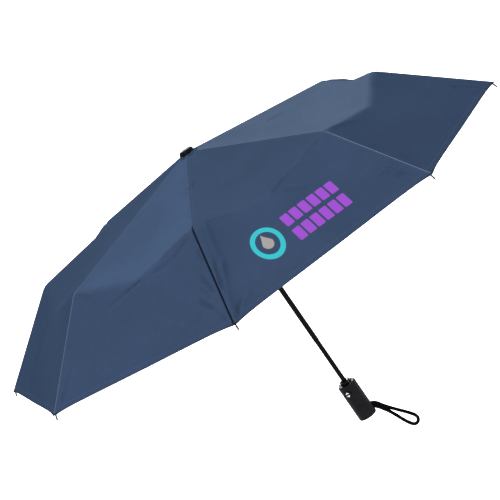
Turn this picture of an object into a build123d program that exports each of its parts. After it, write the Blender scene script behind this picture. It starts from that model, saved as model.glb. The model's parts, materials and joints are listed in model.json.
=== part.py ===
from build123d import *
import os
from math import acos, atan2, cos, pi, radians, sin, tan

# Folding umbrella, shown open. Millimetres, +Z up along the shaft.
# Origin: centre of the hand grip, on the shaft's axis.
os.makedirs("parts", exist_ok=True)

# ---------------------------------------------------------------- driving dimensions
RIB_COUNT = 8
STEP_DEG = 360 / RIB_COUNT
CORNER_R = 480.0         # open canopy, axis to a corner of its hem
CORNER_DROP = 185.0      # apex down to the corners
KNUCKLE_R = 327.0        # axis to the canopy's bend over the outer rib joints
KNUCKLE_DROP = 62.0
FOLD_R = 328.0           # the bend between two ribs bows out to this radius
APEX_Z = 515.0           # top of the cap
CAP_RISE = 5.0           # cap top above the fabric at the axis

GRIP_R = 16.5
GRIP_HALF = 34.0         # half of the grip's length
GRIP_WALL = 2.2

LOWER_TUBE_R = 4.2
MID_TUBE_R = 4.7
UPPER_TUBE_R = 5.2
TUBE_WALL = 0.45
MID_TUBE_Z = (124.0, 336.0)
UPPER_TUBE_BOTTOM = 312.0
LOWER_TUBE_Z = (-20.0, 150.0)

# distances from the axis of the folded layers, innermost first
STRETCHER_R = 9.5
TOP_RIB_R = 12.6
MID_RIB_R = 16.4
TIP_RIB_R = 19.6

TOP_RIB_HALF = (1.5, 1.7)    # half depth, half width
MID_RIB_HALF = (1.3, 1.5)
STRETCHER_HALF = (1.2, 1.2)
TIP_ROD_R = 1.2
TIP_NUB_R = 1.6
TIP_NUB_LENGTH = 8.0
TIP_NUB_OUT = 5.0            # end of the nub past the canopy's corner
TIP_NUB_TILT = 32.0          # degrees down from the rod
RIB_WALL = 0.6
EAR_R = 0.95
PIN_R = 0.45
PIN_PLAY = 0.05
EYE_HOLE_R = 0.65            # round the crown's wire
WIRE_R = 0.55
LUG_R = 1.1                  # ears and tongue at the stretcher's pivot
STRETCHER_WALL = 0.5
LINK_REACH = 7.0             # ear or tongue laps this far onto its rib
TONGUE_HALF = 0.85
EAR_SPAN = (0.95, 1.6)       # ear plates, inner and outer distance from the rib's plane
END_GAP = 1.6                # rib body stops this far from its hinge axis

PIVOT_ALONG = 89.0           # stretcher pivot, along the top rib from the crown hinge
STRETCHER_LENGTH = 95.0

FABRIC_LIFT = 4.1            # canopy's outer face above a rib's centreline
FABRIC_THICK = 0.6           # measured straight down
FABRIC_HOLE_R = 6.0
SEAM_GAP = 0.2

BUTTON_AZ = -110.0
BUTTON_Z = 20.0
BUTTON_R = 5.2
BEZEL_R = 6.8
STRAP_AZ = 10.0
STRAP_D = 6.2
STRAP_EXIT_DOWN = 28.0       # degrees below horizontal

# ---------------------------------------------------------------- worked-out geometry
FABRIC_APEX_Z = APEX_Z - CAP_RISE
KNUCKLE_Z = APEX_Z - KNUCKLE_DROP
TOP_SLOPE = atan2(FABRIC_APEX_Z - KNUCKLE_Z, KNUCKLE_R)
CORNER_Z = APEX_Z - CORNER_DROP
TIP_SLOPE = atan2(KNUCKLE_Z - CORNER_Z, CORNER_R - KNUCKLE_R)

CROWN_Z = FABRIC_APEX_Z - TOP_RIB_R * tan(TOP_SLOPE) - FABRIC_LIFT / cos(TOP_SLOPE)
KNUCKLE_1_UP = (MID_RIB_R - TOP_RIB_R) / 2       # hinge axis above the ribs' centreline
KNUCKLE_2_DOWN = (TIP_RIB_R - MID_RIB_R) / 2     # hinge axis below it
PIVOT_DOWN = TOP_RIB_R - STRETCHER_R

_bend = (TIP_SLOPE - TOP_SLOPE) / 2
_drop = (FABRIC_LIFT + KNUCKLE_2_DOWN) / cos(_bend)
_mean = (TIP_SLOPE + TOP_SLOPE) / 2
KNUCKLE_2 = (KNUCKLE_R - _drop * sin(_mean), KNUCKLE_Z - _drop * cos(_mean))
INNER_LENGTH = (KNUCKLE_2[0] - TOP_RIB_R) * cos(TOP_SLOPE) - (KNUCKLE_2[1] - CROWN_Z) * sin(TOP_SLOPE)
TOP_LENGTH = INNER_LENGTH / 2
CORNER_ALONG = (CORNER_R - KNUCKLE_2[0]) * cos(TIP_SLOPE) + (KNUCKLE_2[1] - CORNER_Z) * sin(TIP_SLOPE)
ROD_END = CORNER_ALONG + TIP_NUB_OUT - TIP_NUB_LENGTH + 2.0


def rib_plane(r, z, slope):
    """Side-view plane: local x outward along the rib, local y up from it."""
    return Plane(origin=(r, 0, z), x_dir=(cos(slope), 0, -sin(slope)), z_dir=(0, -1, 0))


def at_rib(r, z, slope, along, up):
    """Radius and height of a point given along and above a rib."""
    return (r + along * cos(slope) + up * sin(slope), z - along * sin(slope) + up * cos(slope))


PIVOT = at_rib(TOP_RIB_R, CROWN_Z, TOP_SLOPE, PIVOT_ALONG, -PIVOT_DOWN)
KNUCKLE_1 = at_rib(TOP_RIB_R, CROWN_Z, TOP_SLOPE, TOP_LENGTH, KNUCKLE_1_UP)
STRETCHER_RISE = acos((PIVOT[0] - STRETCHER_R) / STRETCHER_LENGTH)
RUNNER_Z = PIVOT[1] - STRETCHER_LENGTH * sin(STRETCHER_RISE)


def both_ways(plane, sketch, half):
    return extrude(plane * sketch, amount=half, both=True)


def rect(x0, x1, y0, y1):
    return Pos((x0 + x1) / 2, (y0 + y1) / 2) * Rectangle(x1 - x0, y1 - y0)


def channel(plane, x0, x1, half, wall, open_up=False):
    """Bent-sheet rib: a U section along local x, open at the side facing the shaft."""
    depth, width = half
    body = both_ways(plane, rect(x0, x1, -depth, depth), width)
    inner = rect(x0 + 4, x1 - 4, -depth - 1, depth - wall)
    if open_up:
        inner = rect(x0 + 4, x1 - 4, -depth + wall, depth + 1)
    return body - both_ways(plane, inner, width - wall)


def link(x, y, reach, side, body_y):
    """Ear or tongue outline: a disc at the hinge (x, y), joined to a rib body that lies on one side."""
    low, high = body_y
    above = low + high > 2 * y
    near, far = (low, high) if above else (high, low)
    top = y + (EAR_R if above else -EAR_R)
    neck = Polygon(
        (x - side * EAR_R, y), (x, y), (x, top), (x - side * 2.0, far),
        (x - side * reach, far), (x - side * reach, near), (x - side * END_GAP, near),
        align=None,
    )
    return Pos(x, y) * Circle(EAR_R) + neck


def ears(plane, outline):
    """Two plates either side of the rib's plane."""
    inner, outer = EAR_SPAN
    return both_ways(plane, outline, outer) - both_ways(plane, outline, inner)


def cross_pin(plane, x, y, radius, half):
    return both_ways(plane, Pos(x, y) * Circle(radius), half)


# ---------------------------------------------------------------- ribs, for the rib on +X
def top_rib():
    depth = TOP_RIB_HALF[0]
    plane = rib_plane(TOP_RIB_R, CROWN_Z, TOP_SLOPE)
    end = TOP_LENGTH - END_GAP
    rib = channel(plane, 4.5, end, TOP_RIB_HALF, RIB_WALL)
    eye = both_ways(plane, Circle(depth) + rect(0, 5.5, -depth, depth), 1.0)
    rib += eye
    rib -= cross_pin(plane, 0, 0, EYE_HOLE_R, 2)
    knuckle = link(TOP_LENGTH, KNUCKLE_1_UP, LINK_REACH, 1, (-depth, depth))
    rib += ears(plane, knuckle)
    rib += cross_pin(plane, TOP_LENGTH, KNUCKLE_1_UP, PIN_R, EAR_SPAN[1])
    lug = Pos(PIVOT_ALONG, -PIVOT_DOWN) * Circle(LUG_R) + rect(
        PIVOT_ALONG - LUG_R, PIVOT_ALONG + LUG_R, -PIVOT_DOWN, -depth + RIB_WALL
    )
    rib += ears(plane, lug)
    rib += cross_pin(plane, PIVOT_ALONG, -PIVOT_DOWN, PIN_R, EAR_SPAN[1])
    return rib


def mid_rib():
    depth = MID_RIB_HALF[0]
    r, z = at_rib(TOP_RIB_R, CROWN_Z, TOP_SLOPE, TOP_LENGTH, 0)
    plane = rib_plane(r, z, TOP_SLOPE)
    rib = channel(plane, END_GAP, TOP_LENGTH - END_GAP, MID_RIB_HALF, RIB_WALL)
    tongue = link(0, KNUCKLE_1_UP, LINK_REACH, -1, (-depth, depth))
    rib += both_ways(plane, tongue, TONGUE_HALF)
    rib -= cross_pin(plane, 0, KNUCKLE_1_UP, PIN_R + PIN_PLAY, 2)
    rib += ears(plane, link(TOP_LENGTH, -KNUCKLE_2_DOWN, LINK_REACH, 1, (-depth, depth)))
    rib += cross_pin(plane, TOP_LENGTH, -KNUCKLE_2_DOWN, PIN_R, EAR_SPAN[1])
    return rib


def tip_rib():
    plane = rib_plane(*KNUCKLE_2, TIP_SLOPE)
    up = KNUCKLE_2_DOWN
    outline = link(0, 0, 8.0, -1, (up - TIP_ROD_R, up + TIP_ROD_R))
    rib = both_ways(plane, outline, TONGUE_HALF)
    rod = Plane(origin=plane.from_local_coords((3.0, up, 0)), z_dir=plane.x_dir)
    rod_length = ROD_END - 3.0
    rib += rod * Pos(0, 0, rod_length / 2) * Cylinder(TIP_ROD_R, rod_length)
    nub_start = at_rib(*KNUCKLE_2, TIP_SLOPE, ROD_END - 1.0, up)
    nub_base = rib_plane(*nub_start, TIP_SLOPE + radians(TIP_NUB_TILT))
    nub = Plane(origin=nub_base.origin, z_dir=nub_base.x_dir)
    barrel = TIP_NUB_LENGTH - TIP_NUB_R
    rib += nub * Pos(0, 0, barrel / 2) * Cylinder(TIP_NUB_R, barrel)
    rib += nub * Pos(0, 0, barrel) * Sphere(TIP_NUB_R)
    rib -= cross_pin(plane, 0, 0, PIN_R + PIN_PLAY, 2)
    return rib


def stretcher():
    depth, width = STRETCHER_HALF
    plane = rib_plane(STRETCHER_R, RUNNER_Z, -STRETCHER_RISE)
    bar = channel(plane, 0, STRETCHER_LENGTH - 4.5, STRETCHER_HALF, STRETCHER_WALL, open_up=True)
    bar += both_ways(plane, Circle(depth), width)
    tip = Pos(STRETCHER_LENGTH, 0) * Circle(LUG_R) + rect(
        STRETCHER_LENGTH - 6, STRETCHER_LENGTH, -LUG_R, LUG_R
    )
    bar += both_ways(plane, tip, TONGUE_HALF)
    bar -= cross_pin(plane, STRETCHER_LENGTH, 0, PIN_R + PIN_PLAY, 2)
    return bar


# ---------------------------------------------------------------- shaft
def tube(r_out, r_in, z0, z1):
    outer = Pos(0, 0, (z0 + z1) / 2) * Cylinder(r_out, z1 - z0)
    return outer - Pos(0, 0, (z0 + z1) / 2) * Cylinder(r_in, z1 - z0 + 2)


def disc(radius, z0, z1):
    return Pos(0, 0, (z0 + z1) / 2) * Cylinder(radius, z1 - z0)


def radial_slots(half_width, r_in, r_out, z0, z1):
    """One slot for each rib, open outward."""
    cut = Pos((r_in + r_out) / 2, 0, (z0 + z1) / 2) * Box(r_out - r_in, 2 * half_width, z1 - z0)
    return [Rot(0, 0, i * STEP_DEG) * cut for i in range(RIB_COUNT)]


TUBE_SEAT_Z = CROWN_Z + 0.6      # the crown stops the upper tube here
CROWN_R = 14.6
CROWN_TOP = CROWN_Z + 1.9
CROWN_BOTTOM = CROWN_Z - 3.5
CROWN_NECK = (8.2, CROWN_Z - 9.0)    # radius and lower end
CROWN_SLOT = (2.2, 10.3)             # half width and inner end of a rib's slot
BOSS_R = 3.2
BOSS_TOP = APEX_Z - 2.5
CAP_HEIGHT = 7.0
CAP_R = 13.5
CAP_CREST_R = 10.8
RUNNER_UP = 32.0             # sleeve above the stretchers' level
RUNNER_RING = 3.2
RUNNER_SLEEVE_R = 7.4
RUNNER_RING_R = 11.2
RUNNER_SLOT = (1.5, 7.9)     # half width and inner end of a stretcher's slot


def crown():
    body = disc(CROWN_R, CROWN_BOTTOM, CROWN_TOP) + disc(*CROWN_NECK, CROWN_BOTTOM)
    body += disc(BOSS_R, CROWN_TOP, BOSS_TOP)
    body -= disc(UPPER_TUBE_R, CROWN_NECK[1] - 1.0, TUBE_SEAT_Z)
    for cut in radial_slots(*CROWN_SLOT, CROWN_R + 1.4, CROWN_BOTTOM - 0.5, CROWN_TOP + 1):
        body -= cut
    return body - Pos(0, 0, CROWN_Z) * Torus(TOP_RIB_R, WIRE_R + PIN_PLAY)


def crown_wire():
    return Pos(0, 0, CROWN_Z) * Torus(TOP_RIB_R, WIRE_R)


def top_cap():
    rim = APEX_Z - CAP_HEIGHT
    outline = Polyline(
        (0, BOSS_TOP), (BOSS_R, BOSS_TOP), (BOSS_R, rim + 1.8), (CAP_R, rim),
        (CAP_R, rim + 2.2), (CAP_CREST_R, APEX_Z - 0.6), (0, APEX_Z), close=True,
    )
    cap = revolve(Plane.XZ * make_face(outline), Axis.Z)
    crest = cap.edges().filter_by(GeomType.CIRCLE).filter_by(lambda e: abs(e.radius - CAP_CREST_R) < 0.01)
    return fillet(crest, 1.2)


def runner():
    low = RUNNER_Z - RUNNER_RING
    body = tube(RUNNER_SLEEVE_R, UPPER_TUBE_R + 0.05, low, RUNNER_Z + RUNNER_UP)
    ring = tube(RUNNER_RING_R, RUNNER_SLEEVE_R - 0.4, low, RUNNER_Z + 3.0)
    for cut in radial_slots(*RUNNER_SLOT, RUNNER_RING_R + 1.8, low - 0.8, RUNNER_Z + 4.0):
        ring -= cut
    return body + ring


def coil(radius, wire_r, length, turns):
    """Compression spring along +Z from the origin."""
    path = Helix(pitch=length / turns, height=length, radius=radius)
    section = Plane(origin=path @ 0, z_dir=path % 0) * Circle(wire_r)
    return sweep(section, path=path, is_frenet=True)


# ---------------------------------------------------------------- canopy
def on_rib(r, z, side):
    """Seam point beside a rib, for a panel centred on +X; side is +1 or -1."""
    half = radians(STEP_DEG / 2)
    return (r * cos(half) + SEAM_GAP * sin(half), side * (r * sin(half) - SEAM_GAP * cos(half)), z)


def facet_solid(outline):
    """Closed plate under a triangle, its thickness measured straight down."""
    return extrude(make_face(Polyline(*outline, close=True)), amount=FABRIC_THICK, dir=(0, 0, -1))


def canopy_panel():
    """Panel between two ribs: two sagging inner facets that meet a flat outer one along a bowed bend."""
    half = radians(STEP_DEG / 2)
    flat_r = KNUCKLE_R * cos(half)
    fold_z = KNUCKLE_Z - (FOLD_R - flat_r) * tan(TIP_SLOPE) / cos(half)
    sag = (FABRIC_APEX_Z - fold_z) / FOLD_R
    hole_z = FABRIC_APEX_Z - FABRIC_HOLE_R * tan(TOP_SLOPE)
    hole_mid = (FABRIC_HOLE_R, 0, FABRIC_APEX_Z - FABRIC_HOLE_R * sag)
    fold = (FOLD_R, 0, fold_z)
    panel = None
    for side in (1, -1):
        hole = on_rib(FABRIC_HOLE_R, hole_z, side)
        knuckle = on_rib(KNUCKLE_R, KNUCKLE_Z, side)
        corner = on_rib(CORNER_R, CORNER_Z, side)
        hem_mid = (corner[0], 0, corner[2])
        for outline in (
            (hole, knuckle, fold), (hole, fold, hole_mid),
            (knuckle, corner, fold), (corner, hem_mid, fold),
        ):
            plate = facet_solid(outline)
            panel = plate if panel is None else panel + plate
    return panel


# ---------------------------------------------------------------- handle
SHELL_BOTTOM = -31.0
CAP_LIP_TOP = -29.6
SHELL_IN_R = GRIP_R - GRIP_WALL
RIM_Z = GRIP_HALF
COLLAR_R = (7.4, 9.3)
COLLAR_TOP = RIM_Z + 6.5
FLANGE_Z = (28.0, 31.5)
WINDOW_R = 2.2             # arched windows in the collar
SEAT_IN_R = 11.6           # ring inside the rim, with two raised ears
SEAT_TOP = RIM_Z + 2.6
SEAT_GAP = (20.0, 8.0)     # opening between the ears: width, height
SEAT_LOW = RIM_Z - 0.8     # top of the ring between the ears
LEVER_HALF = 4.0           # release latch: half widths of its arm and its plate
LATCH_HALF = 6.8
CORE_R = 9.0
CORE_Z = (-25.0, 6.0)
TUBE_PIN_Z = -12.0
PRESS = 1.8                # button travel
BUTTON_FACE = 17.3         # button's outer face, from the axis
BUTTON_BACK = 12.4
LATCH_Z = (BUTTON_Z - 5.5, BUTTON_Z - 2.5)
SPRING_UP = 3.5            # button spring's axis above the button's


def toward(azimuth, z):
    """Plane on the shaft's axis at height z, its normal pointing out at an azimuth, local y up."""
    a = radians(azimuth)
    return Plane(origin=(0, 0, z), x_dir=(-sin(a), cos(a), 0), z_dir=(cos(a), sin(a), 0))


def round_bar(plane, radius, start, end, up=0.0):
    return plane * Pos(0, up, (start + end) / 2) * Cylinder(radius, end - start)


BUTTON_PLANE = toward(BUTTON_AZ, BUTTON_Z)
STRAP_PLANE = toward(STRAP_AZ, 0)
SLOT_Z = (-29.5, -14.0)
SLOT_HALF = 3.4


def strap_slot(play):
    """Round-ended prism through the grip's wall for the wrist strap."""
    middle = (SLOT_Z[0] + SLOT_Z[1]) / 2
    outline = SlotOverall(SLOT_Z[1] - SLOT_Z[0] - 2 * play, 2 * SLOT_HALF - 2 * play, rotation=90)
    return extrude(STRAP_PLANE * Pos(0, middle, 9) * outline, amount=11)


def grip_shell():
    outline = Polyline(
        (SHELL_IN_R, SHELL_BOTTOM), (GRIP_R, SHELL_BOTTOM), (GRIP_R, RIM_Z - 0.8),
        (GRIP_R - 0.8, RIM_Z), (GRIP_R - 1.5, RIM_Z), (SHELL_IN_R, RIM_Z - 1.6), close=True,
    )
    shell = revolve(Plane.XZ * make_face(outline), Axis.Z)
    shell -= round_bar(BUTTON_PLANE, BEZEL_R, 10.0, 20.0)
    return shell - strap_slot(0)


def base_cap():
    cap = disc(GRIP_R, -GRIP_HALF, SHELL_BOTTOM)
    cap = fillet(cap.edges().group_by(Axis.Z)[0], 1.8)
    cap += disc(SHELL_IN_R, SHELL_BOTTOM, CAP_LIP_TOP)
    return cap - disc(SHELL_IN_R - 2.0, SHELL_BOTTOM, CAP_LIP_TOP + 1)


def tube_collar():
    """Cup that takes the end of the middle tube, with two arched windows on the strap's side."""
    body = tube(COLLAR_R[1], COLLAR_R[0], FLANGE_Z[1], COLLAR_TOP)
    body += tube(SHELL_IN_R, MID_TUBE_R + 0.1, *FLANGE_Z)
    for i in range(2):
        low, high = FLANGE_Z[1] + 2.5, COLLAR_TOP - 0.9 - WINDOW_R
        window = Pos(0, low) * Circle(WINDOW_R) + Pos(0, high) * Circle(WINDOW_R)
        window += Pos(0, (low + high) / 2) * Rectangle(2 * WINDOW_R, high - low)
        side = toward(STRAP_AZ - 45.0 + 90.0 * i, 0)
        body -= extrude(side * Pos(0, 0, 5.0) * window, amount=6)
    return body


def tip_seat_ring():
    """Ring inside the rim; its two ears stand above the rim, one on the strap's side."""
    ring = tube(SHELL_IN_R, COLLAR_R[1], FLANGE_Z[1], FLANGE_Z[1] + 1.2)
    ring += tube(SHELL_IN_R - 0.2, SEAT_IN_R, FLANGE_Z[1] + 1.2, SEAT_TOP)
    width, height = SEAT_GAP
    gap = Pos(0, SEAT_LOW + height / 2) * RectangleRounded(width, height, 3.0)
    return ring - both_ways(toward(STRAP_AZ + 90.0, 0), gap, GRIP_R)


def handle_core():
    core = disc(CORE_R, *CORE_Z) - disc(LOWER_TUBE_R, LOWER_TUBE_Z[0], CORE_Z[1] + 1)
    for azimuth in (60, 150, 240, 330):
        rib = Pos((CORE_R + SHELL_IN_R) / 2 - 0.1, 0, -10.0) * Box(SHELL_IN_R - CORE_R, 1.6, 26.0)
        core += Rot(0, 0, azimuth) * rib
    return core - tube_pin()


def tube_pin():
    return Pos(0, 0, TUBE_PIN_Z) * Rot(90, 0, 0) * Cylinder(1.0, 2 * CORE_R - 1.0)


def lower_tube():
    body = tube(LOWER_TUBE_R, LOWER_TUBE_R - 0.5, *LOWER_TUBE_Z)
    return body - tube_pin()


def button_bezel():
    ring = round_bar(BUTTON_PLANE, BEZEL_R, 14.0, 16.9)
    return ring - round_bar(BUTTON_PLANE, BUTTON_R + 0.1, 13.0, 18.0)


def button():
    body = round_bar(BUTTON_PLANE, BUTTON_R, 13.6, BUTTON_FACE)
    edge = body.edges().filter_by(GeomType.CIRCLE).sort_by_distance(BUTTON_PLANE.origin)[-1]
    body = fillet(edge, 0.6)
    return body + round_bar(BUTTON_PLANE, BUTTON_R + 1.0, BUTTON_BACK, 13.6)


def release_latch():
    """Slotted plate behind the button; its bridge lets go of the shaft's catch."""
    middle = (LATCH_Z[0] + LATCH_Z[1]) / 2
    flat = Plane(origin=(0, 0, middle), x_dir=BUTTON_PLANE.z_dir, z_dir=(0, 0, 1))
    outline = rect(-8.5, 7.5, -LATCH_HALF, LATCH_HALF)
    outline += rect(7.5, BUTTON_BACK, -LEVER_HALF, LEVER_HALF)
    clear = LOWER_TUBE_R + 0.3
    hole = rect(0, PRESS, -clear, clear) + Circle(clear) + Pos(PRESS, 0) * Circle(clear)
    return both_ways(flat, outline - hole, (LATCH_Z[1] - LATCH_Z[0]) / 2)


def button_spring():
    start = LOWER_TUBE_R + 0.3
    plane = Plane(
        origin=BUTTON_PLANE.from_local_coords((0, SPRING_UP, start + 0.35)),
        z_dir=BUTTON_PLANE.z_dir,
    )
    return plane * coil(2.0, 0.3, BUTTON_BACK - start - 0.75, 5)


def shaft_spring():
    bottom = TUBE_PIN_Z + 1.6
    return Pos(0, 0, bottom) * coil(2.9, 0.4, CROWN_Z - bottom, 24)


# ---------------------------------------------------------------- wrist strap
# Cord's line in the plane through the shaft at STRAP_AZ: (distance from the axis, height, sideways).
STRAP_MOUTH = (14.15, -20.35)
STRAP_SPREAD = 3.1
STRAP_LEADS = (8.2, 7.0)
STRAP_ROUTE = [
    (29.9, -33.8, 0.4), (41.8, -49.3, 1.0), (54.4, -64.4, 1.4), (62.2, -74.3, 1.2),
    (67.0, -81.8, 0.8), (67.2, -88.4, 0.3), (63.0, -92.9, -0.3), (57.0, -92.9, -0.8),
    (52.0, -87.8, -1.0), (46.9, -78.4, -1.0), (42.4, -68.4, -0.8), (38.0, -57.8, -0.5),
    (32.8, -46.9, -0.2), (25.4, -35.4, 0.0),
]


def strap_point(out, z, side):
    a = radians(STRAP_AZ)
    return Vector(out * cos(a) - side * sin(a), out * sin(a) + side * cos(a), z)


def strap_ends():
    """Both ends of the cord in its anchor, each followed by the corner straight out from it."""
    down = radians(STRAP_EXIT_DOWN)
    out, z = STRAP_MOUTH
    ends = []
    for spread, lead in zip((STRAP_SPREAD, -STRAP_SPREAD), STRAP_LEADS):
        end = (out + spread * sin(down), z + spread * cos(down))
        corner = (end[0] + lead * cos(down), end[1] - lead * sin(down))
        ends.append((strap_point(*end, 0), strap_point(*corner, 0)))
    return ends


def strap_path():
    """The cord's route as straight runs joined by arcs as large as the runs allow."""
    (first, second), (last, second_last) = strap_ends()
    points = [first, second] + [strap_point(*p) for p in STRAP_ROUTE] + [second_last, last]
    runs = [b - a for a, b in zip(points, points[1:])]
    radii = []
    for one, two in zip(runs, runs[1:]):
        half_turn = radians(one.get_angle(two)) / 2
        radii.append(0.45 * min(one.length, two.length) / tan(half_turn))
    print("strap radii", [round(r, 1) for r in radii], "runs", [round(r.length, 1) for r in runs])
    return FilletPolyline(*points, radius=radii)


def wrist_strap():
    path = strap_path()
    section = Plane(origin=path @ 0, z_dir=path % 0) * Circle(STRAP_D / 2)
    cord = sweep(section, path=path, transition=Transition.ROUND)
    ideal = pi * (STRAP_D / 2) ** 2 * path.length
    print("strap length", round(path.length, 1), "volume", round(cord.volume), "of", round(ideal))
    return cord


def strap_anchor():
    """Block that holds both cord ends; its sloping face is square to the cord."""
    down = radians(STRAP_EXIT_DOWN)
    a = radians(STRAP_AZ)
    side = Plane(origin=(0, 0, 0), x_dir=(cos(a), sin(a), 0), z_dir=(sin(a), -cos(a), 0))
    out, z = STRAP_MOUTH
    reach = STRAP_SPREAD + 2.7
    top = (out + reach * sin(down), z + reach * cos(down))
    low = (out - reach * sin(down), z - reach * cos(down))
    outline = Polygon((10.0, top[1]), top, low, (10.0, low[1]), align=None)
    return both_ways(side, outline, SLOT_HALF) & strap_slot(0.1)


# ---------------------------------------------------------------- write the parts
def write(name, shape):
    solids = shape.solids()
    export_step(solids[0] if len(solids) == 1 else Compound(children=list(solids)), f"parts/{name}.step")


SINGLE_PARTS = [
    grip_shell, base_cap, tube_collar, tip_seat_ring, handle_core, tube_pin, lower_tube,
    button_bezel, button, release_latch, button_spring, strap_anchor, wrist_strap,
    top_cap, crown, crown_wire, runner, shaft_spring,
]
RIB_PARTS = [top_rib, mid_rib, tip_rib, stretcher]

if __name__ == "__main__":
    for make in SINGLE_PARTS:
        write(make.__name__, make())
    write("mid_tube", tube(MID_TUBE_R, MID_TUBE_R - TUBE_WALL, *MID_TUBE_Z))
    write("upper_tube", tube(UPPER_TUBE_R, UPPER_TUBE_R - TUBE_WALL, UPPER_TUBE_BOTTOM, TUBE_SEAT_Z))
    for make in RIB_PARTS:
        piece = make()
        for i in range(RIB_COUNT):
            write(f"{make.__name__}_{i + 1}", Rot(0, 0, -i * STEP_DEG) * piece)
    panel = canopy_panel()
    for i in range(RIB_COUNT):
        write(f"canopy_panel_{i + 1}", Rot(0, 0, -(i + 0.5) * STEP_DEG) * panel)
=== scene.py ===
import json
from math import atan2, cos, pi, radians, sin, tan

import bpy
import bmesh
import numpy as np
from mathutils import Matrix, Vector


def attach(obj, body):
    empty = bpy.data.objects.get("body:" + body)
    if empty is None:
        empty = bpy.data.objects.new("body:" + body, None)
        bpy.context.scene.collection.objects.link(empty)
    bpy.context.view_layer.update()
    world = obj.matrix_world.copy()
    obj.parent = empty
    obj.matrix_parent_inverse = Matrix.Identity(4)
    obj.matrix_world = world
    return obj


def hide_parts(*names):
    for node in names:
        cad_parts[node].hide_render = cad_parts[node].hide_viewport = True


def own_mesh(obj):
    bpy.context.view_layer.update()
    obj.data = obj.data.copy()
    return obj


# Open folding umbrella. Metres, +Z up the shaft, origin at the centre of the grip.
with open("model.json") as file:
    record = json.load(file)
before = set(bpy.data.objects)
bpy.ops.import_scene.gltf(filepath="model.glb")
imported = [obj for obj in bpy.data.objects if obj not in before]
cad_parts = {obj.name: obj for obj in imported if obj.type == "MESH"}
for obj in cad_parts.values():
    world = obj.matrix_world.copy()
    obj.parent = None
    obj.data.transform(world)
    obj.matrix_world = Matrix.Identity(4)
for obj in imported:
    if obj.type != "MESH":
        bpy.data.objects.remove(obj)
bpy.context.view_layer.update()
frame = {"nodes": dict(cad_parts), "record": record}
nodes = frame["nodes"]

# ---------------------------------------------------------------- sizes shared with the CAD
RIBS = 8
STEP = 2 * pi / RIBS
HALF = STEP / 2
APEX_Z = 0.510
KNUCKLE_R, KNUCKLE_Z = 0.327, 0.453
CORNER_R, CORNER_Z = 0.480, 0.330
FOLD_R = 0.328              # the bend at the middle of a panel
HINGE_R = 0.1687            # fabric above the joint of top and middle rib
CENTRE_R = 0.020            # the cap's own patch of fabric ends here
HOLE_R = 0.006
HEM_OUT = CORNER_R * cos(HALF)
STRAP_AZ = radians(10)
BUTTON_AZ = radians(-110)
BUTTON_Z, BUTTON_FACE = 0.020, 0.0173

OUTER_SLOPE = atan2(KNUCKLE_Z - CORNER_Z, CORNER_R - KNUCKLE_R)
FOLD_Z = KNUCKLE_Z - (FOLD_R - KNUCKLE_R * cos(HALF)) * tan(OUTER_SLOPE) / cos(HALF)


# ---------------------------------------------------------------- camera
def make_camera():
    azimuth, elevation, roll = radians(9.95), radians(10.91), radians(34.67)
    cap_top = Vector((0, 0, 0.515))
    cap_from_camera = Vector((-0.1070, 0.1642, -3.1643))
    turn = (
        Matrix.Rotation(roll, 3, "Z")
        @ Matrix.Rotation(-(pi / 2 - elevation), 3, "X")
        @ Matrix.Rotation(-azimuth, 3, "Z")
    )
    data = bpy.data.cameras.new("camera")
    data.sensor_width = 36.0
    data.lens = 139.5
    data.clip_end = 200.0
    camera = bpy.data.objects.new("camera", data)
    place = cap_top - turn.transposed() @ cap_from_camera
    camera.matrix_world = Matrix.Translation(place) @ turn.transposed().to_4x4()
    bpy.context.collection.objects.link(camera)
    bpy.context.scene.camera = camera


make_camera()


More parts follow.
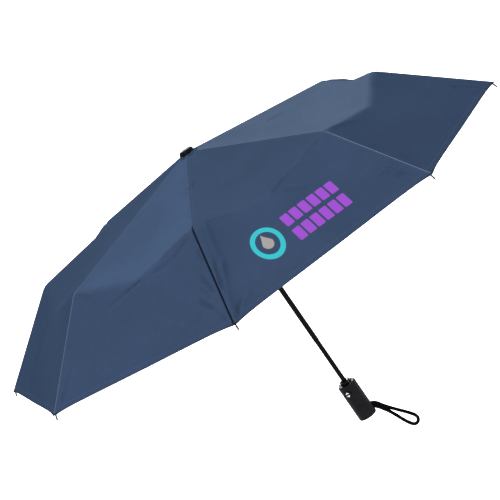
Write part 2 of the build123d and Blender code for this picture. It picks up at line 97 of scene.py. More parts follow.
# ---------------------------------------------------------------- node helpers
class Nodes:
    """Short calls for building one material's node tree."""

    def __init__(self, name):
        self.material = bpy.data.materials.new(name)
        self.material.use_nodes = True
        self.tree = self.material.node_tree
        self.shader = self.tree.nodes["Principled BSDF"]

    def add(self, kind, **settings):
        node = self.tree.nodes.new(kind)
        for key, value in settings.items():
            setattr(node, key, value)
        return node

    def join(self, out, into):
        self.tree.links.new(out, into)

    def feed(self, socket, value):
        if isinstance(value, bpy.types.NodeSocket):
            self.join(value, socket)
        else:
            socket.default_value = value

    def math(self, operation, *values):
        node = self.add("ShaderNodeMath", operation=operation)
        for socket, value in zip(node.inputs, values):
            self.feed(socket, value)
        return node.outputs[0]

    def smooth(self, value, low, high):
        """0 below low and 1 above high."""
        node = self.add("ShaderNodeMapRange", interpolation_type="SMOOTHSTEP")
        self.feed(node.inputs["Value"], value)
        node.inputs["From Min"].default_value = low
        node.inputs["From Max"].default_value = high
        return node.outputs["Result"]

    def fall(self, value, low, high):
        """1 below low and 0 above high."""
        return self.math("SUBTRACT", 1.0, self.smooth(value, low, high))

    def distance(self, x, y):
        return self.math("SQRT", self.math("ADD", self.math("MULTIPLY", x, x), self.math("MULTIPLY", y, y)))

    def wave(self, value, pitch):
        return self.math("SINE", self.math("MULTIPLY", value, 2 * pi / pitch))

    def coordinates(self, kind="Object"):
        return self.add("ShaderNodeTexCoord").outputs[kind]

    def stretched(self, vector, scale):
        node = self.add("ShaderNodeMapping")
        self.join(vector, node.inputs["Vector"])
        node.inputs["Scale"].default_value = scale
        return node.outputs["Vector"]

    def noise(self, vector, scale, detail=3.0, roughness=0.5):
        node = self.add("ShaderNodeTexNoise")
        self.join(vector, node.inputs["Vector"])
        node.inputs["Scale"].default_value = scale
        node.inputs["Detail"].default_value = detail
        node.inputs["Roughness"].default_value = roughness
        return node.outputs["Fac"]

    def split(self, vector):
        node = self.add("ShaderNodeSeparateXYZ")
        self.join(vector, node.inputs[0])
        return node.outputs

    def mix(self, factor, one, two):
        node = self.add("ShaderNodeMix", data_type="RGBA")
        self.feed(node.inputs[0], factor)
        self.feed(node.inputs[6], one)
        self.feed(node.inputs[7], two)
        return node.outputs[2]

    def multiply(self, one, two):
        node = self.add("ShaderNodeMix", data_type="RGBA", blend_type="MULTIPLY")
        node.inputs[0].default_value = 1.0
        self.feed(node.inputs[6], one)
        self.feed(node.inputs[7], two)
        return node.outputs[2]

    def ramp(self, value, low, high):
        """Maps 0..1 to low..high."""
        node = self.add("ShaderNodeMapRange")
        self.feed(node.inputs["Value"], value)
        node.inputs["To Min"].default_value = low
        node.inputs["To Max"].default_value = high
        return node.outputs["Result"]

    def bump(self, height, strength, distance, normal=None):
        node = self.add("ShaderNodeBump")
        self.join(height, node.inputs["Height"])
        node.inputs["Strength"].default_value = strength
        node.inputs["Distance"].default_value = distance
        if normal is not None:
            self.join(normal, node.inputs["Normal"])
        return node.outputs["Normal"]

    def set(self, **values):
        for key, value in values.items():
            self.feed(self.shader.inputs[key.replace("_", " ")], value)


def rgb(red, green, blue):
    """Linear colour from 0-255 display values."""
    channels = []
    for shown in (red, green, blue):
        dark = shown <= 10
        channels.append(shown / 3294.6 if dark else ((shown / 255 + 0.055) / 1.055) ** 2.4)
    return (*channels, 1.0)


# ---------------------------------------------------------------- materials
def moulded(name, colour, light, roughness, grain=900.0, depth=0.00004, gloss=0.3):
    """Moulded plastic or rubber: fine grain, slight shade changes and rubbed patches."""
    n = Nodes(name)
    where = n.coordinates()
    cloudy = n.noise(where, 60.0, 4.0, 0.6)
    n.set(Base_Color=n.mix(n.smooth(cloudy, 0.35, 0.75), colour, light))
    fine = n.noise(where, grain, 2.0, 0.6)
    worn = n.noise(where, 140.0, 5.0, 0.65)
    n.set(Roughness=n.ramp(worn, roughness - 0.08, roughness + 0.08))
    n.set(Normal=n.bump(fine, 0.5, depth), Specular_IOR_Level=gloss)
    return n.material


def painted_tube(name, colour, roughness):
    """Painted metal with faint draw lines along Z and a few slide marks."""
    n = Nodes(name)
    where = n.coordinates()
    lines = n.noise(n.stretched(where, (1.0, 1.0, 0.02)), 1600.0, 2.0, 0.5)
    marks = n.noise(n.stretched(where, (1.0, 1.0, 0.08)), 260.0, 4.0, 0.7)
    n.set(Base_Color=n.mix(n.smooth(marks, 0.62, 0.8), colour, rgb(14, 14, 16)))
    n.set(Roughness=n.ramp(marks, roughness - 0.06, roughness + 0.12), Specular_IOR_Level=0.03)
    n.set(Normal=n.bump(lines, 0.2, 0.00001))
    return n.material


def bright_steel(name):
    n = Nodes(name)
    where = n.coordinates()
    drawn = n.noise(n.stretched(where, (1.0, 1.0, 0.1)), 1500.0, 3.0, 0.6)
    n.set(Base_Color=n.mix(drawn, rgb(150, 152, 155), rgb(196, 198, 200)), Metallic=1.0)
    n.set(Roughness=n.ramp(drawn, 0.22, 0.38), Normal=n.bump(drawn, 0.3, 0.00002))
    return n.material


def glass_fibre(name):
    """Pultruded rod: fine fibres along it, dark resin."""
    n = Nodes(name)
    where = n.coordinates()
    streaks = n.noise(where, 420.0, 5.0, 0.7)
    n.set(Base_Color=n.mix(streaks, rgb(20, 20, 22), rgb(52, 52, 54)))
    n.set(Roughness=n.ramp(streaks, 0.3, 0.5), Normal=n.bump(streaks, 0.3, 0.00003))
    return n.material


def braid(name):
    """Woven cord: two sets of strands crossing round it."""
    n = Nodes(name)
    turns_along, strands_round = 46.0, 6.0
    along, around, _ = n.split(n.coordinates("UV"))
    pitch = n.math("MULTIPLY", along, 2 * pi * turns_along)
    turn = n.math("MULTIPLY", around, 2 * pi * strands_round)
    one = n.math("SINE", n.math("ADD", pitch, turn))
    two = n.math("SINE", n.math("SUBTRACT", pitch, turn))
    weave = n.math("MULTIPLY", one, two)
    fuzz = n.noise(n.coordinates(), 2600.0, 3.0, 0.7)
    height = n.math("ADD", n.math("MULTIPLY", weave, 0.8), fuzz)
    shade = n.smooth(weave, -0.9, 0.9)
    n.set(Base_Color=n.mix(shade, rgb(2, 2, 3), rgb(9, 9, 11)), Roughness=0.86)
    n.set(Normal=n.bump(height, 0.9, 0.0003), Specular_IOR_Level=0.02)
    return n.material


NAVY = rgb(44, 58, 80)
NAVY_LIGHT = rgb(52, 67, 92)
NAVY_DARK = rgb(34, 45, 64)
# painted shadow in the hollow beside a seam drawn tight
SEAM_SHADOW = rgb(3, 5, 9)
# painted highlight on the seam's ridge over a rib
SEAM_HIGHLIGHT = rgb(120, 132, 154)
HEM = rgb(8, 11, 18)
SEWING_THREAD = rgb(66, 80, 104)
PURPLE = rgb(104, 51, 136)
TEAL = rgb(37, 127, 133)
GREY = rgb(110, 106, 104)


# The print, in the panel's own coordinates: two rows of blocks beside a ring with a drop in it.
PRINT_EDGE = 0.0003
BLOCK_ROWS, BLOCKS_PER_ROW = (0.3775, 0.4020), 6
BLOCK_START, BLOCK_STEP, ROW_SHIFT = 0.0185, 0.0165, 0.001
BLOCK_HALF, BLOCK_CORNER = (0.0090, 0.0066), 0.0018
RING_OUT, RING_SIDE = 0.3860, 0.0640
RING_R, RING_HALF = 0.0205, 0.0035
DROP_R, DROP_EDGE = 0.00885, 0.00035
DROP_LENGTHEN, DROP_TAPER = 0.4, 62.0


def rounded_block(n, out, side, centre, half, corner):
    """1 inside a rounded rectangle of the panel's own coordinates."""
    dx = n.math("SUBTRACT", n.math("ABSOLUTE", n.math("SUBTRACT", out, centre[0])), half[0] - corner)
    dy = n.math("SUBTRACT", n.math("ABSOLUTE", n.math("SUBTRACT", side, centre[1])), half[1] - corner)
    dx, dy = n.math("MAXIMUM", dx, 0.0), n.math("MAXIMUM", dy, 0.0)
    return n.fall(n.distance(dx, dy), corner - PRINT_EDGE, corner + PRINT_EDGE)


def printed(n, out, side, cloth):
    """A plain ring with a drop in it, and two rows of plain blocks."""
    blocks = None
    for row, middle in enumerate(BLOCK_ROWS):
        for i in range(BLOCKS_PER_ROW):
            place = (middle, BLOCK_START - BLOCK_STEP * i + ROW_SHIFT * row)
            one = rounded_block(n, out, side, place, BLOCK_HALF, BLOCK_CORNER)
            blocks = one if blocks is None else n.math("MAXIMUM", blocks, one)
    cloth = n.mix(blocks, cloth, PURPLE)
    dx, dy = n.math("SUBTRACT", out, RING_OUT), n.math("SUBTRACT", side, RING_SIDE)
    from_ring = n.math("ABSOLUTE", n.math("SUBTRACT", n.distance(dx, dy), RING_R))
    on_ring = n.fall(from_ring, RING_HALF - PRINT_EDGE, RING_HALF + PRINT_EDGE)
    cloth = n.mix(on_ring, cloth, TEAL)
    # drop: a disc drawn out to a point toward the canopy's top
    upper = n.math("MINIMUM", dx, 0.0)
    long = n.math("SUBTRACT", dx, n.math("MULTIPLY", upper, DROP_LENGTHEN))
    taper = n.math("MAXIMUM", n.math("ADD", 1.0, n.math("MULTIPLY", upper, DROP_TAPER)), 0.08)
    from_drop = n.distance(long, n.math("DIVIDE", dy, taper))
    on_drop = n.fall(from_drop, DROP_R - DROP_EDGE, DROP_R + DROP_EDGE)
    return n.mix(on_drop, cloth, GREY)


THREAD = 0.0009             # spacing of the yarns
STITCH = 0.0030             # one stitch and its gap
STITCH_IN = 0.0026          # the stitches' distance from a seam
HEM_STITCH_IN = 0.0085


def stitches(n, away, along):
    """A dashed thread where away is 0."""
    on_line = n.fall(n.math("ABSOLUTE", away), 0.0002, 0.0006)
    return n.math("MULTIPLY", on_line, n.smooth(n.wave(along, STITCH), -0.4, 0.1))


def yarns(n):
    """Uneven thickness of the yarns both ways."""
    slub = n.noise(n.stretched(n.coordinates("UV"), (40.0, 900.0, 1.0)), 1.0, 3.0, 0.6)
    cross = n.noise(n.stretched(n.coordinates("UV"), (900.0, 40.0, 1.0)), 1.0, 3.0, 0.6)
    return n.math("MULTIPLY", n.math("ADD", slub, cross), 0.5)


def plain_cloth(n, yarn, out, from_middle, inner, outer):
    """Navy, varied as the yarns run, times painted light and shade by part: inner up to the bend and outer
    past it.
    """
    cloudy = n.noise(n.coordinates(), 9.0, 3.0, 0.5)
    cloth = n.mix(n.smooth(cloudy, 0.3, 0.7), NAVY, n.mix(0.35, NAVY, NAVY_LIGHT))
    cloth = n.mix(n.smooth(yarn, 0.36, 0.66), n.mix(0.3, cloth, NAVY_DARK), cloth)
    # the bend comes a little nearer to the top toward the ribs
    along_bend = n.math("ADD", out, n.math("MULTIPLY", from_middle, 0.207))
    past_bend = n.smooth(along_bend, FOLD_R - 0.012, FOLD_R + 0.006)
    # inner and outer scale the cloth as painted light and shade, one factor inside the bend and one past it
    return n.multiply(cloth, n.mix(past_bend, (*inner, 1.0), (outer, outer, outer, 1.0)))


def pongee(name, inner, outer, highlight_strength=0.6, drawn=False, mark=False):
    """Tightly woven polyester, laid along each panel's own axes, with its seams and hem stitched."""
    n = Nodes(name)
    out, side, _ = n.split(n.coordinates("UV"))
    from_middle = n.math("ABSOLUTE", side)
    yarn = yarns(n)
    cloth = plain_cloth(n, yarn, out, from_middle, inner, outer)
    if mark:
        cloth = printed(n, out, side, cloth)

    rib_line = n.math("MULTIPLY", out, sin(HALF))
    from_rib = n.math("SUBTRACT", rib_line, n.math("MULTIPLY", from_middle, cos(HALF)))
    seam_thread = stitches(n, n.math("SUBTRACT", from_rib, STITCH_IN), out)
    hem_thread = stitches(n, n.math("SUBTRACT", out, HEM_OUT - HEM_STITCH_IN), side)
    threads = n.math("MAXIMUM", seam_thread, hem_thread)
    first_rib = n.math("LESS_THAN", side, 0.0)
    beyond = n.ramp(n.smooth(out, 0.285, 0.305), 0.1, 1.0)
    if drawn:
        # the seam pulled tight over its rib, with a painted shadow in the hollow beside it
        hollow = n.fall(from_rib, 0.0024, 0.0042)
        hollow = n.math("MULTIPLY", hollow, n.math("MULTIPLY", first_rib, beyond))
        cloth = n.mix(n.math("MULTIPLY", hollow, 0.95), cloth, SEAM_SHADOW)
    # painted highlight along the seam's ridge over the other rib
    seam_highlight_mask = n.math("MULTIPLY", n.fall(from_rib, 0.0004, 0.0012), n.math("SUBTRACT", 1.0, first_rib))
    cloth = n.mix(n.math("MULTIPLY", seam_highlight_mask, n.math("MULTIPLY", beyond, highlight_strength)), cloth, SEAM_HIGHLIGHT)
    hem_edge = n.smooth(out, HEM_OUT - 0.0040, HEM_OUT - 0.0012)
    cloth = n.mix(n.math("MULTIPLY", hem_edge, 0.9), cloth, HEM)
    cloth = n.mix(n.math("MULTIPLY", threads, 0.2), cloth, SEWING_THREAD)

    weave = n.math("MULTIPLY", n.wave(side, THREAD), n.wave(out, THREAD))
    height = n.math("ADD", n.math("MULTIPLY", weave, 0.25), yarn)
    height = n.math("ADD", height, n.math("MULTIPLY", threads, 1.5))
    gentle = n.bump(n.noise(n.coordinates(), 55.0, 4.0, 0.55), 0.25, 0.0012)
    n.set(Base_Color=cloth, Roughness=n.ramp(yarn, 0.52, 0.68))
    n.set(Normal=n.bump(height, 0.35, 0.00012, gentle), Specular_IOR_Level=0.0)
    return n.material


# Lit and shaded copies of one cloth: each has its own painted light and shade inside the bend and past it,
# and the lightest has a greyer painted sheen inside the bend.
cloth_painted_sheen_and_shade = pongee("canopy_cloth_painted_sheen_and_shade", (1.16, 1.02, 0.88), 0.56)
cloth_printed_painted_shade = pongee("canopy_cloth_printed_painted_shade", (0.63, 0.62, 0.60), 0.69, highlight_strength=0.0, mark=True)
cloth_drawn_painted_shade = pongee("canopy_cloth_drawn_painted_shade", (0.82, 0.81, 0.79), 0.69, highlight_strength=0.25, drawn=True)
cloth_painted_shade = pongee("canopy_cloth_painted_shade", (0.60, 0.59, 0.57), 0.57)
PANEL_CLOTH = (
    cloth_painted_sheen_and_shade,
    cloth_printed_painted_shade,
    cloth_drawn_painted_shade,
    cloth_painted_shade,
    cloth_painted_shade,
    cloth_drawn_painted_shade,
    cloth_painted_sheen_and_shade,
    cloth_painted_sheen_and_shade,
)
cord_weave = braid("strap_weave")

FINISHES = {
    "grip_rubberised": moulded(
        "grip_soft_touch", rgb(17, 17, 19), rgb(22, 22, 25), 0.42, grain=1400.0, gloss=0.02
    ),
    "gloss_black": moulded(
        "gloss_black", rgb(4, 4, 5), rgb(7, 7, 9), 0.3, grain=600.0, depth=0.00001, gloss=0.04
    ),
    "seat_grey": moulded("seat_grey", rgb(122, 123, 127), rgb(138, 139, 142), 0.45),
    "inner_plastic": moulded("inner_plastic", rgb(20, 20, 22), rgb(30, 30, 33), 0.45),
    "shaft_black": painted_tube("shaft_black", rgb(4, 4, 5), 0.2),
    "spring_steel": bright_steel("spring_steel"),
    "rib_black": painted_tube("rib_black", rgb(20, 20, 22), 0.36),
    "rib_fibre": glass_fibre("rib_fibre"),
    "canopy_fabric": cloth_painted_shade,
    "strap_cord": cord_weave,
}


def dress_cad_nodes():
    """Each CAD node takes the detailed material of its slot."""
    for entry in frame["record"]["subparts"]:
        for holder in nodes[entry["node"]].material_slots:
            holder.material = FINISHES[entry["material_slot"]]


# ---------------------------------------------------------------- canopy shape
# A panel's own coordinates: out along its middle, side toward its second rib, both level.
INNER_RUN, OUTER_RUN = 0.33, 0.15       # length out from the cap to the bend, and on to the hem
HEM_DRAWN_IN = 0.0030
BELLY = 0.0065


def crease_point(u):
    """The bend over the outer joints, from rib (u = -1) through the middle (0) to rib (1)."""
    soft = 0.05
    share = (np.sqrt(u * u + soft * soft) - soft) / (np.sqrt(1 + soft * soft) - soft)
    out = FOLD_R + share * (KNUCKLE_R * cos(HALF) - FOLD_R)
    side = u * KNUCKLE_R * sin(HALF)
    z = FOLD_Z + share * (KNUCKLE_Z - FOLD_Z)
    return out, side, z


def inner_point(v, u):
    """Between the cap (v = 0) and the bend (v = 1): hangs a little between the ribs."""
    out, side, z = crease_point(u)
    hollow = 0.15 + 0.5 * (1 - v * v)
    rib_z = APEX_Z - v * (APEX_Z - KNUCKLE_Z)
    straight = APEX_Z - v * (APEX_Z - z)
    rounded = rib_z - v * (KNUCKLE_Z - FOLD_Z) * (1 - u * u)
    return v * out, v * side, straight + hollow * (rounded - straight)


def outer_point(t, u):
    """Between the bend (t = 0) and the hem (t = 1), which is drawn in a little between the corners."""
    out, side, z = crease_point(u)
    start = inner_point(np.ones_like(u), u)
    drawn_in = HEM_DRAWN_IN * (1 - np.abs(u) ** 8)
    reach = t * (1 - drawn_in / OUTER_RUN)
    belly = BELLY * np.sin(pi * t) * (1 - u * u)
    return (
        start[0] + reach * (HEM_OUT - start[0]),
        start[1] + reach * (u * CORNER_R * sin(HALF) - start[1]),
        start[2] + reach * (CORNER_Z - start[2]) + belly,
    )


def surface(v, u, crisp):
    """Both parts joined by a rounded bend; crisp is the half width of the round, in metres."""
    inner_w, outer_w = crisp / INNER_RUN, crisp / OUTER_RUN
    inside = np.array(inner_point(np.minimum(v, 1), u))
    outside = np.array(outer_point(np.clip(v - 1, 0, 1), u))
    plain = np.where(v <= 1, inside, outside)
    before = np.array(inner_point(1 - inner_w, u))
    middle = np.array(inner_point(np.ones_like(u), u))
    after = np.array(outer_point(outer_w, u))
    s = np.where(v <= 1, (v - 1 + inner_w) / (2 * inner_w), 0.5 + (v - 1) / (2 * outer_w))
    near = (s > 0) & (s < 1)
    s = np.clip(s, 0, 1)
    bent = (1 - s) ** 2 * before + 2 * s * (1 - s) * middle + s * s * after
    return np.where(near, bent, plain)


# Folds and gathers in the fabric: panel, (out, side) of both ends, half width, height, all in mm.
# Left and right are as seen from outside with the cap at the top.
FOLDS = [
    # the bend's soft second branch and its sharpest stretch
    (3, (306, -116), (328, -76), 3.6, -1.3),
    (3, (328, -76), (331, -38), 3.6, -1.0),
    (3, (329, -14), (337, 18), 2.2, -1.5),
    (3, (336, 14), (347, 58), 3.2, -0.9),
    # short creases left of the third rib
    (3, (330, -126), (350, -138), 2.2, -1.0),
    (3, (364, -128), (393, -152), 2.6, -1.4),
    (3, (380, -127), (398, -144), 2.2, -0.9),
    (3, (394, -122), (413, -150), 2.8, -2.0),
    (3, (415, -149), (433, -169), 2.4, -1.4),
    # long pulls right of the third rib
    (2, (304, 106), (394, 149), 6.5, 2.6),
    (2, (356, 138), (394, 159), 2.0, -1.3),
    (2, (366, 127), (420, 170), 3.0, 1.8),
    (2, (418, 150), (438, 177), 3.0, -1.6),
    (2, (416, 128), (435, 166), 3.4, 1.3),
    # middle of the printed panel's bend
    (2, (316, -66), (318, -26), 6.0, 1.2),
    (2, (318, -28), (329, 6), 2.6, 1.5),
    (2, (331, -14), (345, -24), 3.4, 1.1),
    (2, (345, -24), (356, -38), 3.4, 1.0),
    # corner of the second rib
    (2, (400, -124), (402, -152), 2.4, 1.5),
    (2, (416, -140), (418, -158), 2.2, -1.4),
    (2, (396, -147), (420, -143), 2.4, 1.0),
    (1, (372, -122), (412, -80), 5.0, 1.2),
    (1, (400, -134), (415, -120), 2.8, -1.3),
    (1, (396, -128), (428, -148), 2.6, -1.0),
    (4, (332, 20), (440, 36), 5.0, 1.3),
]
for step in range(11):
    # gathers where the third rib's inner seam is drawn tight
    seam_r = 165 + 11.5 * step
    start = (seam_r * cos(HALF) - 1.0, 2.0 - seam_r * sin(HALF))
    FOLDS.append((3, start, (start[0] - 12, start[1] + 14), 2.0, -0.9))
rng = np.random.default_rng(7)


def common_folds(panel):
    """Short tension folds that every panel has at its corners and at the joints of its ribs."""
    found = []
    for way in (-1, 1):
        for _ in range(2):
            lean = rng.uniform(0.62, 0.86)
            reach = rng.uniform(24, 46)
            start = (436 - rng.uniform(2, 6), way * (176 - rng.uniform(4, 14)))
            end = (start[0] - reach, start[1] - way * reach * lean)
            found.append((panel, start, end, 2.6, rng.uniform(-1.1, 0.9)))
        start = (300 + rng.uniform(-6, 6), way * (118 - rng.uniform(2, 8)))
        end = (start[0] + rng.uniform(10, 28), start[1] - way * rng.uniform(30, 60))
        found.append((panel, start, end, 4.0, 1.0))
        start = (rng.uniform(150, 164), way * rng.uniform(56, 60))
        end = (start[0] - 24, start[1] - way * 16)
        found.append((panel, start, end, 3.0, rng.uniform(-0.8, 0.8)))
    return found


for number in range(1, RIBS + 1):
    FOLDS += common_folds(number)


FOLD_GAIN = 2.8             # all folds together, deeper or flatter


def fold_height(panel, out, side):
    """How far the folds lift a panel's points, in metres; a fold fades at both ends."""
    lift = np.zeros_like(out)
    for which, start, end, width, height in FOLDS:
        if which != panel:
            continue
        a, b = np.array(start) / 1000, np.array(end) / 1000
        run = b - a
        length = np.hypot(*run)
        t = ((out - a[0]) * run[0] + (side - a[1]) * run[1]) / length**2
        across = ((out - a[0]) * -run[1] + (side - a[1]) * run[0]) / length
        ends = np.clip(np.minimum(t + 0.15, 1.15 - t) / 0.35, 0, 1)
        ends = ends * ends * (3 - 2 * ends)
        lift += FOLD_GAIN * height / 1000 * ends * np.exp(-((across / (width / 1000)) ** 2))
    return lift


SEAM_RISE, SEAM_HALF = 0.00045, 0.0022


def seam_height(out, side):
    """The two panels' turned-in edges make a low ridge over the rib."""
    from_rib = out * sin(HALF) - np.abs(side) * cos(HALF)
    return SEAM_RISE * np.exp(-((from_rib / SEAM_HALF) ** 2))


CRISP = {1: 0.007, 2: 0.006, 3: 0.006, 4: 0.008}
PLAIN_CRISP = 0.010


def to_world(panel, out, side, z):
    """World points from a panel's own coordinates."""
    a = -(panel - 0.5) * STEP
    x = out * np.cos(a) + side * np.sin(a)
    y = out * np.sin(a) - side * np.cos(a)
    return np.stack([x, y, z], axis=-1)


def panel_points(panel, v, u):
    """World points and panel coordinates of a grid of (v, u)."""
    crisp = CRISP.get(panel, PLAIN_CRISP) * (1 + 0.9 * (1 - np.abs(u)))
    out, side, z = surface(v, u, crisp)
    z = z + fold_height(panel, out, side) + seam_height(out, side) - SEAM_RISE
    return to_world(panel, out, side, z), np.stack([out, side], axis=-1)


def grid_mesh(name, points, flat, material):
    """Quad sheet from a grid of points, seen from above with its normals up."""
    rows, columns = points.shape[:2]
    index = np.arange(rows * columns).reshape(rows, columns)
    corners = (index[:-1, :-1], index[1:, :-1], index[1:, 1:], index[:-1, 1:])
    quads = np.stack(corners, axis=-1).reshape(-1, 4)
    mesh = bpy.data.meshes.new(name)
    mesh.from_pydata(points.reshape(-1, 3).tolist(), [], quads.tolist())
    layer = mesh.uv_layers.new(name="UVMap")
    layer.data.foreach_set("uv", flat.reshape(-1, 2)[quads.ravel()].astype(np.float32).ravel())
    mesh.polygons.foreach_set("use_smooth", [True] * len(quads))
    mesh.materials.append(material)
    if mesh.polygons[0].normal.z < 0:
        mesh.flip_normals()
    thing = bpy.data.objects.new(name, mesh)
    bpy.context.collection.objects.link(thing)
    return thing


# Where each section starts and ends along v, and its rows in a plain panel.
SECTIONS = {
    "inner": (CENTRE_R / KNUCKLE_R, HINGE_R / KNUCKLE_R, 26),
    "mid": (HINGE_R / KNUCKLE_R, 1.0, 34),
    "outer": (1.0, 2.0, 42),
}
PLAIN_COLUMNS = 46
FINE_COLUMNS = {2: 78, 3: 78}
RIB = {"inner": "top_rib", "mid": "mid_rib", "outer": "tip_rib"}


def across_rib(panel, way, section):
    """Direction from a rib into the panel's surface, square to the rib, and a point of that rib."""
    a = -(panel - 0.5) * STEP
    panel_axes = Matrix(((cos(a), sin(a), 0), (sin(a), -cos(a), 0), (0, 0, 1)))
    knuckle = Vector((KNUCKLE_R * cos(HALF), way * KNUCKLE_R * sin(HALF), KNUCKLE_Z))
    corner = Vector((CORNER_R * cos(HALF), way * CORNER_R * sin(HALF), CORNER_Z))
    fold = Vector((FOLD_R, 0, FOLD_Z))
    hem = Vector((HEM_OUT, 0, CORNER_Z))
    along = (corner - knuckle) if section == "outer" else (knuckle - Vector((0, 0, APEX_Z)))
    into = (hem - corner) if section == "outer" else (fold - knuckle)
    along.normalize()
    into = into - into.dot(along) * along
    into.normalize()
    return panel_axes @ into, panel_axes @ knuckle


def section_grid(section, way, columns):
    """Grid of (v, u) from a rib to the panel's middle, finer near the rib and the bend."""
    start, end, rows = SECTIONS[section]
    rows = round(rows * columns / PLAIN_COLUMNS)
    p = np.linspace(0, 1, rows + 1)
    if section == "mid":
        p = 1 - (1 - p) ** 1.5
    if section == "outer":
        p = p**1.35
    q = np.linspace(0, 1, columns + 1)
    spread = 0.25 * q + 0.75 * q * q
    v = (start + (end - start) * p)[:, None] * np.ones(columns + 1)
    u = np.ones(rows + 1)[:, None] * (way * (1 - spread))
    return v, u


def make_cloth(panel, way, section):
    """Half of one section of a panel, which moves with the rib on its side."""
    rib = panel if way < 0 else panel % RIBS + 1
    v, u = section_grid(section, way, FINE_COLUMNS.get(panel, PLAIN_COLUMNS))
    points, flat = panel_points(panel, v, u)
    name = f"canopy_{section}_{panel}{'a' if way < 0 else 'b'}"
    piece = grid_mesh(name, points, flat, PANEL_CLOTH[panel - 1])
    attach(piece, f"{RIB[section]}_body_{rib}")
    if section == "outer":
        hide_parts(f"canopy_panel_{panel}")
    into, place = across_rib(panel, way, section)
    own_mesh(piece)


def make_canopy():
    for panel in range(1, RIBS + 1):
        for way in (-1, 1):
            for section in SECTIONS:
                make_cloth(panel, way, section)


make_canopy()
dress_cad_nodes()

# ---------------------------------------------------------------- wrist strap
STRAP_D = 0.0062
STRAP_MOUTH = (0.01415, -0.02035)       # out and z of the middle between its two ends
STRAP_SPREAD = 0.0031
STRAP_LEADS = (0.0082, 0.0070)
STRAP_DOWN = radians(28)
# Out, z and side of the loop, down one strand and back up the other.
STRAP_ROUTE = [
    (0.0299, -0.0338, 0.0004), (0.0418, -0.0493, 0.0010), (0.0544, -0.0644, 0.0014),
    (0.0622, -0.0743, 0.0012), (0.0670, -0.0818, 0.0008), (0.0672, -0.0884, 0.0003),
    (0.0630, -0.0929, -0.0003), (0.0570, -0.0929, -0.0008), (0.0520, -0.0878, -0.0010),
    (0.0469, -0.0784, -0.0010), (0.0424, -0.0684, -0.0008), (0.0380, -0.0578, -0.0005),
    (0.0328, -0.0469, -0.0002), (0.0254, -0.0354, 0.0),
]


def strap_point(out, z, side):
    c, s = cos(STRAP_AZ), sin(STRAP_AZ)
    return Vector((out * c - side * s, out * s + side * c, z))


def strap_ends():
    """Each end of the cord in its anchor, and the corner straight out from it."""
    ends = []
    for spread, lead in zip((STRAP_SPREAD, -STRAP_SPREAD), STRAP_LEADS):
        out = STRAP_MOUTH[0] + spread * sin(STRAP_DOWN)
        z = STRAP_MOUTH[1] + spread * cos(STRAP_DOWN)
        corner = (out + lead * cos(STRAP_DOWN), z - lead * sin(STRAP_DOWN))
        ends.append((strap_point(out, z, 0), strap_point(*corner, 0)))
    return ends


def make_strap():
    (first, second), (last, second_last) = strap_ends()
    route = [first, second] + [strap_point(*p) for p in STRAP_ROUTE] + [second_last, last]
    curve = bpy.data.curves.new("strap", "CURVE")
    curve.dimensions = "3D"
    line = curve.splines.new("NURBS")
    line.points.add(len(route) - 1)
    for place, control in zip(route, line.points):
        control.co = (*place, 1.0)
    line.order_u = 3
    line.use_endpoint_u = True
    line.resolution_u = 10
    curve.bevel_depth = STRAP_D / 2
    curve.bevel_resolution = 6
    curve.materials.append(cord_weave)
    strap = bpy.data.objects.new("wrist_cord", curve)
    bpy.context.collection.objects.link(strap)
    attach(strap, "handle")
    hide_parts("wrist_strap")


make_strap()


def make_centre():
    """The ring of cloth that the cap clamps; it stays with the cap when the ribs fold."""
    angles = np.linspace(0, 2 * pi, RIBS * 12 + 1)
    across = (angles % STEP) / STEP * 2 - 1
    panel = np.floor(angles / STEP) + 1
    rows, flats = [], []
    for radius in np.linspace(HOLE_R, CENTRE_R, 8):
        out, side, z = inner_point(np.full_like(across, radius / KNUCKLE_R), across)
        rows.append(to_world(panel, out, side, z))
        flats.append(np.stack([out, side], axis=-1))
    points = np.array(rows)
    piece = grid_mesh("canopy_centre", points, np.array(flats), cloth_painted_shade)
    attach(piece, "top_shaft")


make_centre()


# ---------------------------------------------------------------- marks on the button
MARK_HALF_WIDTH, MARK_RISE = 0.0036, 0.00015
MARK_BASE, MARK_POINT = 0.0015, 0.0046      # distances from the button's centre


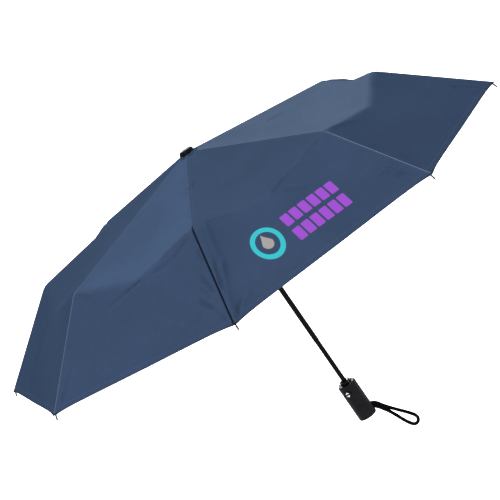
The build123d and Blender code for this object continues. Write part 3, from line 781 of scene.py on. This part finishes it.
def make_button_marks():
    """Two small pointers, one up and one down, raised a little from the button's face."""
    mesh = bpy.data.meshes.new("button_marks")
    shape = bmesh.new()
    for way in (-1, 1):
        base, point = way * MARK_BASE, way * MARK_POINT
        outline = [(-MARK_HALF_WIDTH, base), (MARK_HALF_WIDTH, base), (0.0, point)]
        loop = [shape.verts.new((x, y, 0.0)) for x, y in outline]
        face = shape.faces.new(loop if way < 0 else loop[::-1])
        top = bmesh.ops.extrude_face_region(shape, geom=[face])
        moved = [e for e in top["geom"] if isinstance(e, bmesh.types.BMVert)]
        bmesh.ops.translate(shape, verts=moved, vec=(0, 0, MARK_RISE))
    bmesh.ops.recalc_face_normals(shape, faces=shape.faces)
    shape.to_mesh(mesh)
    shape.free()
    marks = bpy.data.objects.new("button_marks", mesh)
    bpy.context.collection.objects.link(marks)
    x_axis = Vector((-sin(BUTTON_AZ), cos(BUTTON_AZ), 0))
    z_axis = Vector((cos(BUTTON_AZ), sin(BUTTON_AZ), 0))
    y_axis = Vector((0, 0, 1))
    turn = Matrix((x_axis, y_axis, z_axis)).transposed().to_4x4()
    place = z_axis * (BUTTON_FACE - 0.00005) + Vector((0, 0, BUTTON_Z))
    marks.matrix_world = Matrix.Translation(place) @ turn
    mesh.materials.append(moulded("mark_paint", rgb(186, 187, 190), rgb(204, 205, 208), 0.4))
    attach(marks, "push_button")


make_button_marks()


# ---------------------------------------------------------------- floor and light
def make_floor():
    size, height = 60.0, -3.0
    corners = [(x * size, y * size, height) for x, y in ((-1, -1), (1, -1), (1, 1), (-1, 1))]
    mesh = bpy.data.meshes.new("floor")
    mesh.from_pydata(corners, [], [(0, 1, 2, 3)])
    floor = bpy.data.objects.new("floor", mesh)
    bpy.context.collection.objects.link(floor)
    n = Nodes("floor_paper")
    n.set(Base_Color=(0.93, 0.93, 0.935, 1.0), Roughness=0.9)
    mesh.materials.append(n.material)


def make_light(name, azimuth, elevation, power, spread):
    """Soft lamp at infinity; the angles say where its light comes from."""
    data = bpy.data.lights.new(name, "SUN")
    data.energy = power
    data.angle = radians(spread)
    lamp = bpy.data.objects.new(name, data)
    a, e = radians(azimuth), radians(elevation)
    source = Vector((cos(a) * cos(e), sin(a) * cos(e), sin(e)))
    lamp.location = source * 3.0
    lamp.rotation_euler = source.to_track_quat("Z", "Y").to_euler()
    bpy.context.collection.objects.link(lamp)


def make_studio():
    world = bpy.data.worlds.new("studio")
    world.use_nodes = True
    backdrop = world.node_tree.nodes["Background"]
    backdrop.inputs["Color"].default_value = (1.0, 1.0, 1.0, 1.0)
    backdrop.inputs["Strength"].default_value = 1.03
    bpy.context.scene.world = world
    make_light("overhead", 0, 90, 4.5, 20)
    make_light("back", 90, 35, 3.0, 15)
    make_light("front", 250, 45, 1.0, 25)
    make_light("side", 312, 3, 0.3, 4)
    bpy.context.scene.view_settings.view_transform = "Standard"


make_floor()
make_studio()
